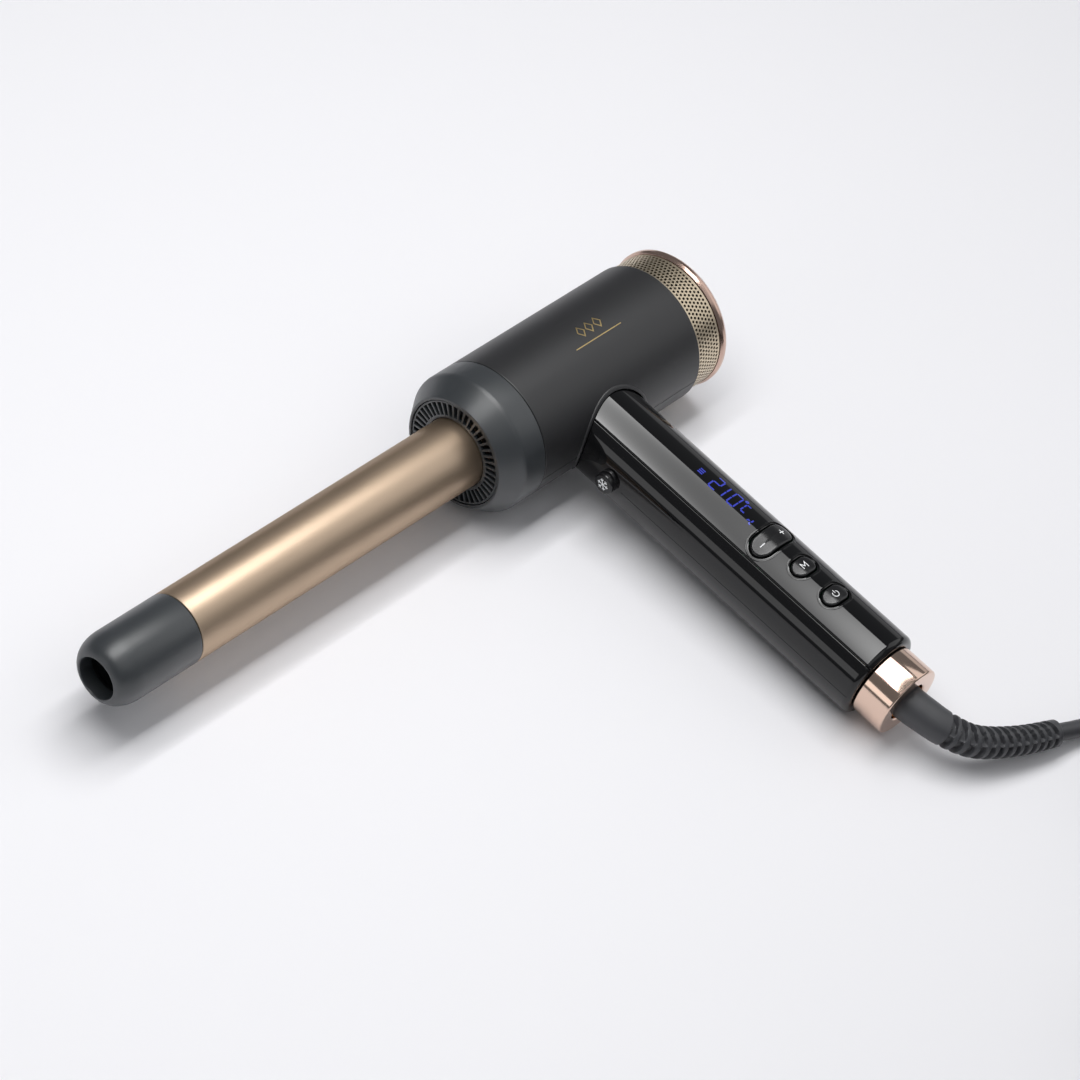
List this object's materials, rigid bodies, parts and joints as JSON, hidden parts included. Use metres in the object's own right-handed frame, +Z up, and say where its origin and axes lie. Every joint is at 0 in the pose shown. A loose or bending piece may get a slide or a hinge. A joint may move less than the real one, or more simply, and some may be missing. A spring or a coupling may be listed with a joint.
{
  "type": "curling iron",
  "caption": "Pistol-shaped cool-air curling wand: gold barrel, charcoal fan housing, gloss black handle with display and keys, swivel cord in a coil.",
  "frame": {"origin": "centre of the wand's footprint on the table it lies on, without its cord", "axes": "+Z up from the table; the barrel points to -X, the air inlet to +X, and the handle to -Y"},
  "size_m": [0.3951, 0.3899, 0.0567],
  "materials": {
    "champagne_aluminium": "satin champagne-gold anodising",
    "rose_gold": "polished rose-gold plating",
    "gold_mesh": "satin gold perforated sheet",
    "soft_charcoal": "soft-touch charcoal coating",
    "slate_plastic": "matte slate-grey moulding",
    "gloss_black": "piano-black gloss",
    "matte_black": "matte black moulding",
    "key_black": "satin black",
    "cord_rubber": "dark grey matte rubber",
    "ceramic_white": "unglazed",
    "plain_aluminium": "bare extrusion",
    "steel": "plain",
    "brass": "plain",
    "board_green": "circuit board lacquer",
    "foam_grey": "open-cell filter foam",
    "lead_red": "wire and sleeve insulation"
  },
  "bodies": {
    "wand": {"barrel_tube": "champagne_aluminium", "cool_tip": "slate_plastic", "tip_insulator": "ceramic_white", "heat_spreader_front": "plain_aluminium", "heat_spreader_back": "plain_aluminium", "heater_strip": "ceramic_white", "thermal_fuse": "steel", "heater_lead_live": "lead_red", "heater_lead_neutral": "ceramic_white", "barrel_mount": "matte_black", "front_grille": "slate_plastic", "front_shell": "slate_plastic", "main_housing": "soft_charcoal", "arch_rim": "soft_charcoal", "fan_motor": "steel", "motor_mount": "matte_black", "keeper_ring": "steel", "handle_rear_shell": "gloss_black", "handle_front_shell": "gloss_black", "handle_neck": "matte_black", "rocker_bezel": "matte_black", "mode_bezel": "matte_black", "power_bezel": "matte_black", "control_board": "board_green", "display_module": "key_black", "switch_plus": "steel", "switch_minus": "steel", "switch_mode": "steel", "switch_power": "steel", "cool_switch": "steel", "power_board": "board_green", "mains_capacitor": "lead_red", "power_transformer": "steel", "end_collar": "rose_gold", "contact_ring": "brass"},
    "rocker": {"temperature_rocker": "key_black"},
    "mode": {"mode_key": "key_black"},
    "power": {"power_key": "key_black"},
    "cool_shot": {"cool_key": "key_black"},
    "fan": {"fan_impeller": "matte_black", "fan_shaft": "steel"},
    "filter_cap": {"filter_mesh": "gold_mesh", "filter_frame": "matte_black", "rear_rim": "rose_gold", "rear_plate": "matte_black", "filter_foam": "foam_grey", "filter_magnet_1": "steel", "filter_magnet_2": "steel", "filter_magnet_3": "steel"},
    "cord_swivel": {"swivel_spindle": "brass", "cord_boot": "cord_rubber", "power_cord": "cord_rubber", "cord_coil": "cord_rubber", "cord_tail": "cord_rubber", "plug_grip": "cord_rubber", "plug_body": "matte_black", "plug_pin_live": "brass", "plug_pin_neutral": "brass", "plug_pin_earth": "brass", "plug_fuse_cover": "key_black"}
  },
  "joints": [
    {"name": "rocker_tilt", "type": "hinge", "parent": "wand", "child": "rocker", "pos_m": [0.08735, -0.02925, 0.0343], "axis": [0, 0.998, 0.0632], "range_deg": [-4, 4], "stiffness_Nm_per_rad": 0.3},
    {"name": "mode_press", "type": "slide", "parent": "wand", "child": "mode", "axis": [0, 0.0632, -0.998], "range_m": [0, 0.0008], "stiffness_N_per_m": 600},
    {"name": "power_press", "type": "slide", "parent": "wand", "child": "power", "axis": [0, 0.0632, -0.998], "range_m": [0, 0.0008], "stiffness_N_per_m": 600},
    {"name": "cool_shot_press", "type": "slide", "parent": "wand", "child": "cool_shot", "axis": [1, 0, 0], "range_m": [0, 0.0012], "stiffness_N_per_m": 500},
    {"name": "fan_spin", "type": "hinge", "parent": "wand", "child": "fan", "pos_m": [0.12285, 0.07684, 0.0284], "axis": [1, 0, 0], "continuous": true},
    {"name": "filter_pull", "type": "slide", "parent": "wand", "child": "filter_cap", "axis": [1, 0, 0], "range_m": [0, 0.014]},
    {"name": "cord_turn", "type": "hinge", "parent": "wand", "child": "cord_swivel", "pos_m": [0.08735, -0.1028, 0.01701], "axis": [0, -0.998, -0.0632], "continuous": true}
  ]
}
